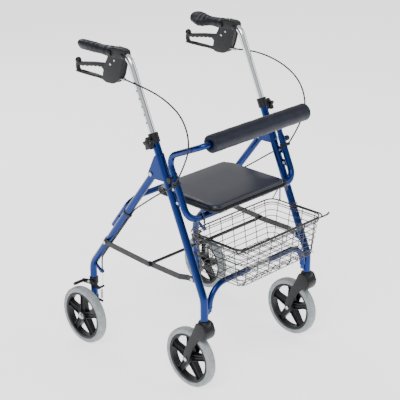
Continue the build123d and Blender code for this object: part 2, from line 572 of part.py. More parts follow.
# Wire carrying handle of the basket, folded down round the front of the rim.
with BuildPart() as basket_bail:
    arm_x, front_y = RIM_HALF + 6.6, RIM_FRONT - 6.4
    sweep_tube([(arm_x, BAIL_Y - 4, BASKET_RIM_Z), (arm_x, front_y, BASKET_RIM_Z),
                (-arm_x, front_y, BASKET_RIM_Z), (-arm_x, BAIL_Y - 4, BASKET_RIM_Z)], [30, 30], 2.5)
    for s in SIDES.values():
        pin(s * (arm_x - 3), s * (arm_x + 3), BAIL_Y, BASKET_RIM_Z, 6)
        pin(s * (arm_x - 4), s * (arm_x + 4), BAIL_Y, BASKET_RIM_Z, 2.5 + RUN, Mode.SUBTRACT)
keep(basket_bail, "basket_bail")

# ---------------------------------------------------------------- handles
handle_end_y = GRIP_END_Y - 4


def handle_path(s, low_z):
    """Centre line points of a handlebar: up the lean of the leg, then level to the rear."""
    return [(s * LEG_X, leg_y(low_z), low_z), (s * LEG_X, leg_y(HANDLE_Z), HANDLE_Z),
            (s * LEG_X, handle_end_y, HANDLE_Z)]


for side, s in SIDES.items():
    x = s * LEG_X
    # Chromed handlebar with a row of height holes on its outer side.
    with BuildPart() as handle_tube:
        sweep_tube(handle_path(s, 640), [40], HANDLE_TUBE / 2, WALL)
        for z in range(841, 975, 23):
            pin(x, s * (LEG_X + 20), leg_y(z), z, 3.25, Mode.SUBTRACT)
    keep(handle_tube, f"handle_tube_{side}")

    # Moulded grip, flared into a palm rest towards its end.
    with BuildPart() as handgrip:
        ring((x, GRIP_START_Y, HANDLE_Z), (0, 1, 0), GRIP_R, 0, GRIP_END_Y - GRIP_START_Y)
        fillet(handgrip.edges().group_by(Axis.Y)[-1], 5)
        tilt = radians(29)
        palm = Plane(origin=(x, 0, HANDLE_Z), x_dir=(s * cos(tilt), 0, sin(tilt)),
                     z_dir=(-sin(tilt), 0, s * cos(tilt)))
        with BuildSketch(palm):
            for u, y, radius in ((-12, 184, 10), (-13, 222, 18), (-8, 248, 18), (8, 246, 17)):
                with Locations((u, y)):
                    Circle(radius)
            make_hull()
        extrude(amount=5.5, both=True)
        ring((x, GRIP_START_Y - 1, HANDLE_Z), (0, 1, 0), HANDLE_TUBE / 2, 0, handle_end_y - GRIP_START_Y + 1,
             Mode.SUBTRACT)
    keep(handgrip, f"handgrip_{side}")

    # Brake lever housing, clamped under the handlebar and slotted for the lever.
    with BuildPart() as brake_housing:
        plate(x - 13, x + 13, [(128, 1046), (107, 1052), (72, 1050), (56, 1045), (65, 1017), (82, 961),
                               (92, 946), (114, 934), (147, 932), (164, 937), (159, 967), (135, 1013)])
        plate(x - 7, x + 7, [(106, 925), (180, 925), (180, 1012), (106, 1012)], Mode.SUBTRACT)
        sweep_tube(handle_path(s, 900), [40], HANDLE_TUBE / 2, mode=Mode.SUBTRACT)
        pin(x - 20, x + 20, LEVER_Y, LEVER_Z, SCREW_R, Mode.SUBTRACT)
        ring((x, 70, 954), (0, 1, 0), SCREW_R + 1, 0, 30, Mode.SUBTRACT)
        # the lever's pivot pin, riveted in the cheeks
        pin(x - 14, x + 14, LEVER_Y, LEVER_Z, SCREW_R)
    keep(brake_housing, f"brake_housing_{side}")

    # Threaded barrel that sets the cable's tension.
    with BuildPart() as cable_adjuster:
        ring((x, 81, 954), (0, 1, 0), SCREW_R + 1, 0, 18)
        ring((x, 74, 954), (0, 1, 0), 5.5, 0, 7.5)
        ring((x, 70, 954), (0, 1, 0), 4, 0, 5)
    keep(cable_adjuster, f"cable_adjuster_{side}")

    # Brake lever: a closed loop with a finger side above and a flat parking side below.
    with BuildPart() as brake_lever:
        for circles in ([(LEVER_Y, LEVER_Z, 10), (158, 983, 9)], [(158, 983, 9), (215, 976, 7)],
                        [(215, 976, 7), (284, 969, 6)], [(292, 974, 10), (292, 973, 10)],
                        [(292, 972, 7), (295, 943, 5)], [(183, 941, 4), (168, 952, 5)],
                        [(168, 952, 5), (160, 974, 6)]):
            hull_plate(x - 6.5, x + 6.5, circles)
        hull_plate(x - 10, x + 10, [(295, 942, 5), (183, 941, 4)])
        pin(x - 20, x + 20, LEVER_Y, LEVER_Z, SCREW_R + RUN, Mode.SUBTRACT)
    keep(brake_lever, f"brake_lever_{side}")

    # Five-lobed knob whose screw clamps the handlebar in the leg.
    with BuildPart() as star_knob:
        with BuildSketch(across(s * (LEG_X + 27.3) - 7, leg_y(KNOB_Z), KNOB_Z)):
            Circle(15)
            with PolarLocations(13.5, 5):
                Circle(7.5)
        extrude(amount=14)
        fillet(star_knob.edges().filter_by(Plane.YZ).group_by(Axis.X)[0 if s < 0 else -1], 2)
        pin(s * (LEG_X + HANDLE_TUBE / 2 + 0.3), s * (LEG_X + 21), leg_y(KNOB_Z), KNOB_Z, SCREW_R)
    keep(star_knob, f"star_knob_{side}")

    # Upper brake cable, looping forward and down from the lever to the clip.
    route = side_route(UPPER_ROUTE, s)
    with BuildPart() as brake_cable_upper:
        sweep_tube(route, cable_radii(route), CABLE_R)
    keep(brake_cable_upper, f"brake_cable_upper_{side}")

for name, route in (("upper", UPPER_ROUTE), ("lower", LOWER_ROUTE)):
    print(name, "cable radii", [round(radius) for radius in cable_radii(route)])
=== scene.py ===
import bmesh
import bpy
from math import cos, pi, radians, sin, tan
from mathutils import Matrix, Vector


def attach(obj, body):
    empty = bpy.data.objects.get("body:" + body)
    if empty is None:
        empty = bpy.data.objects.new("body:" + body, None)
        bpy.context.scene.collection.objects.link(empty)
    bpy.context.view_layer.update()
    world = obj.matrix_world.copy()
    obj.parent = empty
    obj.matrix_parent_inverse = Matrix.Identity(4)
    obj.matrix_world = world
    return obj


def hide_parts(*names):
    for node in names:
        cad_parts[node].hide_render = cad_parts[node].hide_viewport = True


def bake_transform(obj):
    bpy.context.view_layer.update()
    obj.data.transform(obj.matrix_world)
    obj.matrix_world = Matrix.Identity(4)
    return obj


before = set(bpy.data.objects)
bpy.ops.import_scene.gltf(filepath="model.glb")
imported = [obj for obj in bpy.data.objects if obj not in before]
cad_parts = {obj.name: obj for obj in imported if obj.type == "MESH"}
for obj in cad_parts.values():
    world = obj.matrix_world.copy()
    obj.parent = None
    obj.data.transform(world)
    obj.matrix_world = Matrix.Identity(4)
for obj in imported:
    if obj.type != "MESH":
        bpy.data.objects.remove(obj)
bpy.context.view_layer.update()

SIDES = {"left": 1, "right": -1}
LEG_X, FRONT_LEG_Y = 0.243, -0.257
REAR_WHEEL_X, REAR_AXLE_Y, CASTER_AXLE_Y = 0.290, 0.268, -0.195
CROSS_BAR_Z, BACKREST_BAR_Z = 0.357, 0.817
BRAKE_WIRE_Y, BRAKE_SPRING_X = 0.222, 0.250

# ---------------------------------------------------------------- camera, floor and lights
# A long lens at standing height, off the walker's front right-hand corner.
camera_data = bpy.data.cameras.new("camera")
camera_data.lens = 105.8
camera_data.sensor_width = 36.0
camera_data.clip_end = 50.0
turn, rise, roll = radians(-44.85), radians(22.204), radians(-0.663)
right = Vector((cos(turn), sin(turn), 0))
back = Vector((sin(turn) * cos(rise), -cos(turn) * cos(rise), sin(rise)))
up = back.cross(right)
level_right = right * cos(roll) + up * sin(roll)
level_up = up * cos(roll) - right * sin(roll)
camera = bpy.data.objects.new("camera", camera_data)
camera.matrix_world = Matrix.Translation((-2.5112, -2.5242, 1.9606)) @ Matrix(
    (level_right, level_up, back)).transposed().to_4x4()
bpy.context.scene.collection.objects.link(camera)
bpy.context.scene.camera = camera


def linear(hex_colour):
    """An sRGB hex colour as the linear RGBA that Blender works in."""
    channels = [int(hex_colour[i:i + 2], 16) / 255 for i in (1, 3, 5)]
    return tuple(c / 12.92 if c <= 0.04045 else ((c + 0.055) / 1.055) ** 2.4 for c in channels) + (1.0,)


def add_node(tree, kind, settings=None, links=None):
    """Add one node; settings are its properties and socket values, links feed its sockets."""
    made = tree.nodes.new(kind)
    for key, value in (settings or {}).items():
        if isinstance(key, str) and hasattr(made, key):
            setattr(made, key, value)
        else:
            made.inputs[key].default_value = value
    for key, source in (links or {}).items():
        tree.links.new(source, made.inputs[key])
    return made


def new_material(name, colour, roughness, metallic=0.0, **shader):
    """A material with its Principled shader's constants set on the shader itself."""
    made = bpy.data.materials.new(name)
    made.use_nodes = True
    surface = made.node_tree.nodes["Principled BSDF"]
    surface.inputs["Base Color"].default_value = linear(colour)
    surface.inputs["Roughness"].default_value = roughness
    surface.inputs["Metallic"].default_value = metallic
    for key, value in shader.items():
        surface.inputs[key.replace("_", " ")].default_value = value
    return made, made.node_tree, surface


def ramp_between(tree, factor, low, high, start=0.35, end=0.65):
    """A colour ramp between two hex colours, driven by a pattern."""
    ramp = add_node(tree, "ShaderNodeValToRGB", None, {0: factor})
    ramp.color_ramp.elements[0].position = start
    ramp.color_ramp.elements[1].position = end
    ramp.color_ramp.elements[0].color = linear(low)
    ramp.color_ramp.elements[1].color = linear(high)
    return ramp.outputs["Color"]


def bump(tree, surface, height, strength, depth):
    """Relief from a pattern, depth in metres."""
    made = add_node(tree, "ShaderNodeBump", {"Strength": strength, "Distance": depth}, {"Height": height})
    tree.links.new(made.outputs["Normal"], surface.inputs["Normal"])


def noise(tree, size, detail=2.0, rough=0.5):
    """Noise on the piece's own coordinates; size is the grain in metres."""
    place = add_node(tree, "ShaderNodeTexCoord")
    made = add_node(tree, "ShaderNodeTexNoise", {"Scale": 1.0 / size, "Detail": detail, "Roughness": rough},
                    {"Vector": place.outputs["Object"]})
    return made.outputs["Fac"]


def mesh_object(name, verts, faces, material=None, smooth=True):
    """A mesh object at the origin from points in metres."""
    data = bpy.data.meshes.new(name)
    data.from_pydata([tuple(v) for v in verts], [], faces)
    data.update()
    if smooth:
        data.polygons.foreach_set("use_smooth", [True] * len(data.polygons))
    if material:
        data.materials.append(material)
    made = bpy.data.objects.new(name, data)
    bpy.context.scene.collection.objects.link(made)
    return made


FLOOR_HALF = 30
floor_corners = [(a * FLOOR_HALF, b * FLOOR_HALF, 0) for a, b in ((-1, -1), (1, -1), (1, 1), (-1, 1))]
floor = mesh_object("floor", floor_corners, [(0, 1, 2, 3)], smooth=False)
# Matt white paper lit through from below, bright with a soft contact shadow.
paper, _, _ = new_material("white_paper_sweep", "#fbfbfb", 0.9,
                           Emission_Color=(1, 1, 1, 1), Emission_Strength=1.3)
floor.data.materials.append(paper)

world = bpy.data.worlds.new("studio")
bpy.context.scene.world = world
world.use_nodes = True
# A white studio with a dark flag on either side, which draws dark lines down bright metal.
sky = world.node_tree
sight = add_node(sky, "ShaderNodeTexCoord")
aside = add_node(sky, "ShaderNodeVectorMath", {"operation": "DOT_PRODUCT", 1: (0.709, -0.705, 0.0)},
                 {0: sight.outputs["Generated"]})
width = add_node(sky, "ShaderNodeMath", {"operation": "ABSOLUTE"}, {0: aside.outputs["Value"]})
flags = ramp_between(sky, width.outputs[0], "#ffffff", "#2a2d33", 0.60, 0.72)
sky.links.new(flags, sky.nodes["Background"].inputs["Color"])
sky.nodes["Background"].inputs["Strength"].default_value = 0.8
for name, place, size, power in (("key_softbox", (-2.2, -1.6, 3.4), 2.0, 95),
                                 ("fill_softbox", (2.6, -2.4, 2.6), 2.4, 45),
                                 ("rim_softbox", (0.6, 3.0, 2.6), 2.0, 50)):
    light = bpy.data.lights.new(name, "AREA")
    light.size = size
    light.energy = power
    lamp = bpy.data.objects.new(name, light)
    lamp.location = place
    lamp.rotation_euler = (Vector((0, 0, 0.5)) - Vector(place)).to_track_quat("-Z", "Y").to_euler()
    bpy.context.scene.collection.objects.link(lamp)


# ---------------------------------------------------------------- blue steel frame
# Welded steel tube and folded sheet, sprayed with a metallic blue powder coat and baked. The
# clear top layer gives sharp highlights over fine flake and a faint orange-peel ripple.
def paint(material, *names):
    """Give CAD nodes their finish."""
    for name in names:
        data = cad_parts[name].data
        data.materials.clear()
        data.materials.append(material)
        data.polygons.foreach_set("material_index", [0] * len(data.polygons))


blue_coat, tree, surface = new_material("metallic_blue_powder_coat", "#042866", 0.3, 0.85,
                                        Coat_Weight=0.25, Coat_Roughness=0.08)
flake = noise(tree, 0.0006, 1.0)
tree.links.new(ramp_between(tree, flake, "#001d52", "#063078"), surface.inputs["Base Color"])
bump(tree, surface, noise(tree, 0.0016, 1.0), 0.10, 0.0002)
paint(blue_coat, "front_legs", "hinge_brackets", "front_cross_bar", "seat_support_tube", "rear_legs",
      "rear_cross_tube", "backrest_bar")

# ---------------------------------------------------------------- chromed handlebars
# Drawn steel tube, polished and chrome plated, with punched height holes. Near-mirror gloss,
# slightly clouded by fine rubbing marks along the tube.
chrome, tree, surface = new_material("bright_chrome_plate", "#dfe2e5", 0.08, 1.0)
rub = add_node(tree, "ShaderNodeMapRange", {"To Min": 0.06, "To Max": 0.16}, {0: noise(tree, 0.012, 4.0)})
tree.links.new(rub.outputs[0], surface.inputs["Roughness"])
paint(chrome, "handle_tube_left", "handle_tube_right")

# ---------------------------------------------------------------- fasteners
# Zinc plated steel bolts, nuts, clips and adjusters: pale satin metal with a cloudy plating.
zinc, tree, surface = new_material("zinc_plated_steel", "#b9bcc0", 0.3, 1.0)
tone = ramp_between(tree, noise(tree, 0.004, 3.0), "#a3a6ab", "#cdd0d3")
tree.links.new(tone, surface.inputs["Base Color"])
cloud = add_node(tree, "ShaderNodeMapRange", {"To Min": 0.22, "To Max": 0.4}, {0: noise(tree, 0.003, 3.0)})
tree.links.new(cloud.outputs[0], surface.inputs["Roughness"])
paint(zinc, "frame_bolts", "rear_axles", "rear_frame_bolts", "brace_bolts", "seat_clips", "caster_bolts_left",
      "caster_bolts_right", "cable_adjuster_left", "cable_adjuster_right")
bearing, tree, surface = new_material("ground_bearing_steel", "#c3c5c8", 0.22, 1.0)
bump(tree, surface, noise(tree, 0.0005, 1.0), 0.15, 0.0001)
paint(bearing, *[f"{place}_bearings_{side}" for place in ("rear", "caster") for side in SIDES])

# ---------------------------------------------------------------- folding braces and brake arms
# Flat steel bar and rod, sprayed dark grey satin; a fine texture breaks up the reflections.
dark_paint, tree, surface = new_material("dark_grey_satin_paint", "#1b1c20", 0.42, 0.25)
tree.links.new(ramp_between(tree, noise(tree, 0.02, 4.0), "#17181c", "#1f2024"), surface.inputs["Base Color"])
bump(tree, surface, noise(tree, 0.0012, 2.0), 0.2, 0.0002)
paint(dark_paint, "front_braces", "rear_braces", "brace_rod", "brake_shoe_left", "brake_shoe_right")

# ---------------------------------------------------------------- moulded collars, bands and clips
# Injection-moulded nylon in charcoal: a fine spark-eroded grain that scatters the light.
nylon, tree, surface = new_material("moulded_charcoal_nylon", "#111217", 0.46, Specular_IOR_Level=0.3)
tone = ramp_between(tree, noise(tree, 0.008, 3.0), "#0e0f13", "#15161b")
tree.links.new(tone, surface.inputs["Base Color"])
bump(tree, surface, noise(tree, 0.0009, 2.0), 0.35, 0.0003)
paint(nylon, "leg_collars", "brake_mounts", "cable_clips", "lock_knob_left", "lock_knob_right")
board_black, tree, surface = new_material("black_stained_plywood", "#141416", 0.6)
bump(tree, surface, noise(tree, 0.002, 4.0), 0.3, 0.0004)
paint(board_black, "seat_board")


# ---------------------------------------------------------------- wheels: tyres
# Light grey non-marking polyurethane, cast round the hub: matt, faintly mottled, with two
# shoulder lines and a slightly crowned tread.
def lathe(rings, centre, axis="X", steps=96):
    """Revolve (along, radius) points about an axis through centre; returns points and faces."""
    verts, faces = [], []
    count = len(rings)
    for step in range(steps):
        angle = 2 * pi * step / steps
        for along, radius in rings:
            u, v = radius * cos(angle), radius * sin(angle)
            offset = {"X": (along, u, v), "Y": (v, along, u), "Z": (u, v, along)}[axis]
            verts.append(Vector(centre) + Vector(offset))
        nxt = (step + 1) % steps
        for i in range(count):
            j = (i + 1) % count
            faces.append((step * count + i, step * count + j, nxt * count + j, nxt * count + i))
    return verts, faces


def put(obj, body, slot, *nodes):
    """Outward faces, then the body it rides on and the CAD nodes it stands for; slot is not used."""
    work = bmesh.new()
    work.from_mesh(obj.data)
    bmesh.ops.remove_doubles(work, verts=work.verts, dist=1e-6)
    bmesh.ops.recalc_face_normals(work, faces=work.faces)
    work.to_mesh(obj.data)
    work.free()
    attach(obj, body)
    if nodes:
        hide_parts(*nodes)
    return obj


TYRE_HALF, TYRE_R, RIM_R = 0.014, 0.100, 0.083
tyre_rubber, tree, surface = new_material("cast_grey_polyurethane", "#8b9194", 0.62)
mottle = ramp_between(tree, noise(tree, 0.015, 4.0), "#82898c", "#989ea1")
tree.links.new(mottle, surface.inputs["Base Color"])
bump(tree, surface, noise(tree, 0.0011, 3.0), 0.3, 0.0003)


def tyre_rings():
    """Cross-section of a tyre: flat sidewalls, a shoulder line each side, a crowned tread."""
    half = [(TYRE_HALF, RIM_R), (TYRE_HALF, RIM_R + 0.006), (TYRE_HALF - 0.0006, RIM_R + 0.0072),
            (TYRE_HALF, RIM_R + 0.0084)]
    for step in range(8):
        angle = pi / 2 * step / 7
        half.append((TYRE_HALF - 0.0065 * (1 - cos(angle)), 0.0925 + 0.0068 * sin(angle)))
    half += [(0.0066, 0.0990), (0.0060, 0.0992), (0.0030, 0.0999), (0.0, TYRE_R)]
    return half + [(-along, radius) for along, radius in reversed(half[:-1])]


# ---------------------------------------------------------------- wheels: hubs
# Glass-filled nylon mouldings in black: a channelled rim, a boss for the bearings and five
# tapered spokes with raised edges.
hub_nylon, tree, surface = new_material("moulded_black_nylon", "#0d0e12", 0.46, Specular_IOR_Level=0.3)
tree.links.new(ramp_between(tree, noise(tree, 0.01, 3.0), "#0b0c0f", "#111216"), surface.inputs["Base Color"])
bump(tree, surface, noise(tree, 0.0009, 2.0), 0.3, 0.0003)


def turning_tree():
    """Geometry nodes that repeat a piece round the wheel's axle and move it into place."""
    made = bpy.data.node_groups.new("spokes_round_axle", "GeometryNodeTree")
    made.interface.new_socket("Geometry", in_out="OUTPUT", socket_type="NodeSocketGeometry")
    for name, kind in (("Geometry", "Geometry"), ("Count", "Int"), ("Centre", "Vector"),
                       ("Material", "Material")):
        made.interface.new_socket(name, in_out="INPUT", socket_type=f"NodeSocket{kind}")
    given = add_node(made, "NodeGroupInput")
    points = add_node(made, "GeometryNodeMeshLine", {"Offset": (0, 0, 0)}, {"Count": given.outputs["Count"]})
    index = add_node(made, "GeometryNodeInputIndex")
    share = add_node(made, "ShaderNodeMath", {"operation": "DIVIDE"}, {
        0: index.outputs[0], 1: given.outputs["Count"]})
    angle = add_node(made, "ShaderNodeMath", {"operation": "MULTIPLY", 1: 2 * pi}, {0: share.outputs[0]})
    turned = add_node(made, "ShaderNodeCombineXYZ", None, {"X": angle.outputs[0]})
    copies = add_node(made, "GeometryNodeInstanceOnPoints", None, {
        "Points": points.outputs[0], "Instance": given.outputs["Geometry"], "Rotation": turned.outputs[0]})
    moved = add_node(made, "GeometryNodeTransform", None, {
        "Geometry": copies.outputs[0], "Translation": given.outputs["Centre"]})
    real = add_node(made, "GeometryNodeRealizeInstances", None, {0: moved.outputs[0]})
    done = add_node(made, "GeometryNodeSetMaterial", None, {
        "Geometry": real.outputs[0], "Material": given.outputs["Material"]})
    add_node(made, "NodeGroupOutput", None, {0: done.outputs[0]})
    return made


def run_tree(obj, tree, values):
    """Run a geometry tree on an object with named inputs and keep the result as its mesh."""
    modifier = obj.modifiers.new(tree.name, "NODES")
    modifier.node_group = tree
    for item in tree.interface.items_tree:
        if item.item_type == "SOCKET" and item.in_out == "INPUT" and item.name in values:
            modifier[item.identifier] = values[item.name]
    obj.update_tag()
    bpy.context.view_layer.update()
    result = bpy.data.meshes.new_from_object(obj.evaluated_get(bpy.context.evaluated_depsgraph_get()))
    obj.modifiers.remove(modifier)
    obj.data = result
    result.polygons.foreach_set("use_smooth", [True] * len(result.polygons))
    return obj


def join(name, *pieces):
    """Join pieces of one material into a single object."""
    work = bmesh.new()
    material = pieces[0].data.materials[0]
    for piece in pieces:
        work.from_mesh(piece.data)
        bpy.data.objects.remove(piece)
    data = bpy.data.meshes.new(name)
    work.to_mesh(data)
    work.free()
    data.materials.append(material)
    made = bpy.data.objects.new(name, data)
    bpy.context.scene.collection.objects.link(made)
    return made


def sharpen(obj, angle=35):
    """Smooth shading that keeps edges sharper than the angle crisp."""
    work = bmesh.new()
    work.from_mesh(obj.data)
    bmesh.ops.remove_doubles(work, verts=work.verts, dist=1e-6)
    bmesh.ops.recalc_face_normals(work, faces=work.faces)
    for edge in work.edges:
        edge.smooth = len(edge.link_faces) != 2 or edge.calc_face_angle(0) < radians(angle)
    for face in work.faces:
        face.smooth = True
    work.to_mesh(obj.data)
    work.free()
    return obj


def spoke_mesh():
    """One spoke along +Z: a web with a raised rib down each edge and one down the middle."""
    inner, outer = 0.013, 0.0765
    rows = 10
    section = [(-1.0, 6), (-1.0, 10.5), (-0.78, 10.5), (-0.62, 4.5), (-0.16, 4.5), (-0.1, 7), (0.1, 7),
               (0.16, 4.5), (0.62, 4.5), (0.78, 10.5), (1.0, 10.5), (1.0, 6)]
    loop = [(y, x) for y, x in section] + [(y, -x) for y, x in reversed(section)]
    verts, faces = [], []
    for row in range(rows + 1):
        t = row / rows
        z = inner + (outer - inner) * t
        half = 0.0125 - 0.0045 * t + 0.006 * max(0.0, t - 0.8) / 0.2
        thick = 1.0 - 0.12 * t
        for y, x in loop:
            verts.append((x * thick / 1000, y * half, z))
    count = len(loop)
    for row in range(rows):
        for i in range(count):
            j = (i + 1) % count
            faces.append((row * count + i, row * count + j, (row + 1) * count + j, (row + 1) * count + i))
    return verts, faces


spokes = turning_tree()
rim_rings = [(0.013, 0.0831), (0.0135, 0.0815), (0.0130, 0.0750), (0.0115, 0.0738), (0.0060, 0.0745),
             (-0.0060, 0.0745), (-0.0115, 0.0738), (-0.0130, 0.0750), (-0.0135, 0.0815), (-0.013, 0.0831)]
boss_rings = [(0.0166, 0.0112), (0.0166, 0.0150), (0.0158, 0.0166), (0.0090, 0.0185), (-0.0090, 0.0185),
              (-0.0158, 0.0166), (-0.0166, 0.0150), (-0.0166, 0.0112), (-0.0098, 0.0108), (0.0098, 0.0108)]


def wheel(place, side, body, x, y):
    """Tyre and hub of one wheel."""
    centre = (x, y, TYRE_R)
    tyre = mesh_object(f"{place}_tyre_{side}_cast", *lathe(tyre_rings(), centre, steps=128), tyre_rubber)
    put(tyre, body, "grey_tyre", f"{place}_tyre_{side}")
    spoke = run_tree(mesh_object("spoke", *spoke_mesh()), spokes,
                     {"Count": 5, "Centre": centre, "Material": hub_nylon})
    rim = mesh_object("rim", *lathe(rim_rings, centre, steps=96), hub_nylon)
    boss = mesh_object("boss", *lathe(boss_rings, centre, steps=48), hub_nylon)
    hub = sharpen(join(f"{place}_hub_{side}_moulded", rim, boss, spoke), 40)
    put(hub, body, "hub_plastic", f"{place}_hub_{side}")


for side, s in SIDES.items():
    wheel("rear", side, f"rear_wheel_{side}", s * REAR_WHEEL_X, REAR_AXLE_Y)
    wheel("caster", side, f"caster_wheel_{side}", s * LEG_X, CASTER_AXLE_Y)


# ---------------------------------------------------------------- blank band on the cross bar
# A pale printed-film band wrapped round the middle of the front cross bar, left plain.
film, tree, surface = new_material("pale_vinyl_film", "#d8dade", 0.4)
tree.links.new(ramp_between(tree, noise(tree, 0.02, 2.0), "#d2d4d8", "#dedfe3"), surface.inputs["Base Color"])
BAND_HALF, BAND_INNER_R, BAND_OUTER_R = 0.045, 0.0096, 0.0101
band_rings = [(-BAND_HALF, BAND_INNER_R), (-BAND_HALF, BAND_OUTER_R),
              (BAND_HALF, BAND_OUTER_R), (BAND_HALF, BAND_INNER_R)]
band = mesh_object("cross_bar_band", *lathe(band_rings, (0, FRONT_LEG_Y, CROSS_BAR_Z), steps=48), film)
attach(sharpen(band), "front_frame")


# ---------------------------------------------------------------- caster forks
# One-piece nylon mouldings: a round housing under the leg, a hooded crown and two broad arms
# that taper down to the axle bolt.
def rounded(points, times=2):
    """Cut the corners of a closed outline so that it runs smoothly."""
    for _ in range(times):
        cut = []
        for i, a in enumerate(points):
            b = points[(i + 1) % len(points)]
            cut.append((a[0] * 0.8 + b[0] * 0.2, a[1] * 0.8 + b[1] * 0.2))
            cut.append((a[0] * 0.2 + b[0] * 0.8, a[1] * 0.2 + b[1] * 0.8))
        points = cut
    return points


def moulded(name, loops, x0, x1, edge, material, segments=2):
    """Plate between two X planes with rounded edges, from outlines in Y and Z; millimetres."""
    curve = bpy.data.curves.new(name, "CURVE")
    curve.dimensions = "2D"
    curve.fill_mode = "BOTH"
    curve.extrude = (abs(x1 - x0) / 2 - edge) / 1000
    curve.bevel_depth = edge / 1000
    curve.bevel_resolution = segments
    curve.offset = -edge / 1000
    for loop in loops:
        spline = curve.splines.new("POLY")
        spline.points.add(len(loop) - 1)
        for point, (y, z) in zip(spline.points, loop):
            point.co = (y / 1000, z / 1000, 0, 1)
        spline.use_cyclic_u = True
    flat = bpy.data.objects.new(name, curve)
    bpy.context.scene.collection.objects.link(flat)
    bpy.context.view_layer.update()
    data = bpy.data.meshes.new_from_object(flat.evaluated_get(bpy.context.evaluated_depsgraph_get()))
    bpy.data.objects.remove(flat)
    data.transform(Matrix(((0, 0, 1, (x0 + x1) / 2000), (1, 0, 0, 0), (0, 1, 0, 0), (0, 0, 0, 1))))
    data.materials.clear()
    data.materials.append(material)
    made = bpy.data.objects.new(name, data)
    bpy.context.scene.collection.objects.link(made)
    return sharpen(made, 40)


ARM = [(-277, 236), (-281, 218), (-272, 196), (-252, 186), (-232, 160), (-213, 117), (-207, 91), (-196, 85),
       (-184, 90), (-181, 104), (-191, 138), (-209, 176), (-226, 208), (-235, 232), (-243, 246), (-268, 246)]
NOSE = [(-274, 242), (-286, 222), (-283, 204), (-272, 188), (-264, 196), (-244, 208), (-238, 242)]
for side, s in SIDES.items():
    x = s * LEG_X * 1000
    arms = [moulded("arm", [rounded(ARM)], x + a, x + b, 1.6, nylon)
            for a, b in ((-22.5, -17.2), (17.2, 22.5))]
    crown = moulded("crown", [rounded(NOSE)], x - 21, x + 21, 3.0, nylon, 3)
    rings = [(0.206, 0.006), (0.206, 0.0190), (0.236, 0.0208), (0.245, 0.0200), (0.2495, 0.0175),
             (0.2510, 0.0140), (0.2510, 0.006)]
    housing = mesh_object("housing", *lathe(rings, (s * LEG_X, FRONT_LEG_Y, 0), "Z", 64), nylon)
    fork = sharpen(join(f"caster_fork_{side}_moulded", *arms, crown, housing), 40)
    put(fork, f"caster_{side}", "charcoal_plastic", f"caster_fork_{side}")


# ---------------------------------------------------------------- wire basket
# Welded from 3 mm steel wire and dipped in black plastic: level hoops, U-shaped wires that
# run down one wall, under the floor and up the other, and a doubled rim.
dipped, tree, surface = new_material("black_plastic_dipped_wire", "#0b0c0f", 0.36, 0.0, Coat_Weight=0.25)
bump(tree, surface, noise(tree, 0.004, 3.0), 0.35, 0.0004)


def wire_tree():
    """Geometry nodes that repeat one wire's path at even steps and give it its thickness."""
    made = bpy.data.node_groups.new("welded_wire_row", "GeometryNodeTree")
    made.interface.new_socket("Geometry", in_out="OUTPUT", socket_type="NodeSocketGeometry")
    for name, kind in (("Geometry", "Geometry"), ("Count", "Int"), ("First", "Vector"), ("Step", "Vector"),
                       ("First Size", "Vector"), ("Last Size", "Vector"), ("Bend Radius", "Float"),
                       ("Wire Radius", "Float"), ("Material", "Material")):
        made.interface.new_socket(name, in_out="INPUT", socket_type=f"NodeSocket{kind}")
    given = add_node(made, "NodeGroupInput")
    path = add_node(made, "GeometryNodeMeshToCurve", None, {"Mesh": given.outputs["Geometry"]})
    bent = add_node(made, "GeometryNodeFilletCurve", {"mode": "POLY", "Count": 5}, {
        "Curve": path.outputs[0], "Radius": given.outputs["Bend Radius"]})
    bent.inputs["Limit Radius"].default_value = True
    points = add_node(made, "GeometryNodeMeshLine", None, {
        "Count": given.outputs["Count"], "Start Location": given.outputs["First"],
        "Offset": given.outputs["Step"]})
    index = add_node(made, "GeometryNodeInputIndex")
    last = add_node(made, "ShaderNodeMath", {"operation": "SUBTRACT", 1: 1.0}, {0: given.outputs["Count"]})
    share = add_node(made, "ShaderNodeMath", {"operation": "DIVIDE"}, {
        0: index.outputs[0], 1: last.outputs[0]})
    size = add_node(made, "ShaderNodeMix", {"data_type": "VECTOR"}, {0: share.outputs[0]})
    made.links.new(given.outputs["First Size"], size.inputs[4])
    made.links.new(given.outputs["Last Size"], size.inputs[5])
    copies = add_node(made, "GeometryNodeInstanceOnPoints", None, {
        "Points": points.outputs[0], "Instance": bent.outputs[0], "Scale": size.outputs[1]})
    lines = add_node(made, "GeometryNodeRealizeInstances", None, {0: copies.outputs[0]})
    circle = add_node(made, "GeometryNodeCurvePrimitiveCircle", {"Resolution": 8}, {
        "Radius": given.outputs["Wire Radius"]})
    round_wire = add_node(made, "GeometryNodeCurveToMesh", {"Fill Caps": True}, {
        "Curve": lines.outputs[0], "Profile Curve": circle.outputs[0]})
    real = add_node(made, "GeometryNodeRealizeInstances", None, {0: round_wire.outputs[0]})
    done = add_node(made, "GeometryNodeSetMaterial", None, {
        "Geometry": real.outputs[0], "Material": given.outputs["Material"]})
    add_node(made, "NodeGroupOutput", None, {0: done.outputs[0]})
    return made


wires = wire_tree()


def wire_row(path, count=1, first=(0, 0, 0), step=(0, 0, 0), sizes=((1, 1, 1), (1, 1, 1)), bend=0.0,
             radius=0.0014, closed=False, material=dipped):
    """A row of like wires; path is one wire's corner points in metres."""
    data = bpy.data.meshes.new("wire")
    edges = [(i, i + 1) for i in range(len(path) - 1)] + ([(len(path) - 1, 0)] if closed else [])
    data.from_pydata(path, edges, [])
    obj = bpy.data.objects.new("wire", data)
    bpy.context.scene.collection.objects.link(obj)
    return run_tree(obj, wires, {"Count": count, "First": first, "Step": step, "First Size": sizes[0],
                                 "Last Size": sizes[1], "Bend Radius": bend, "Wire Radius": radius,
                                 "Material": material})


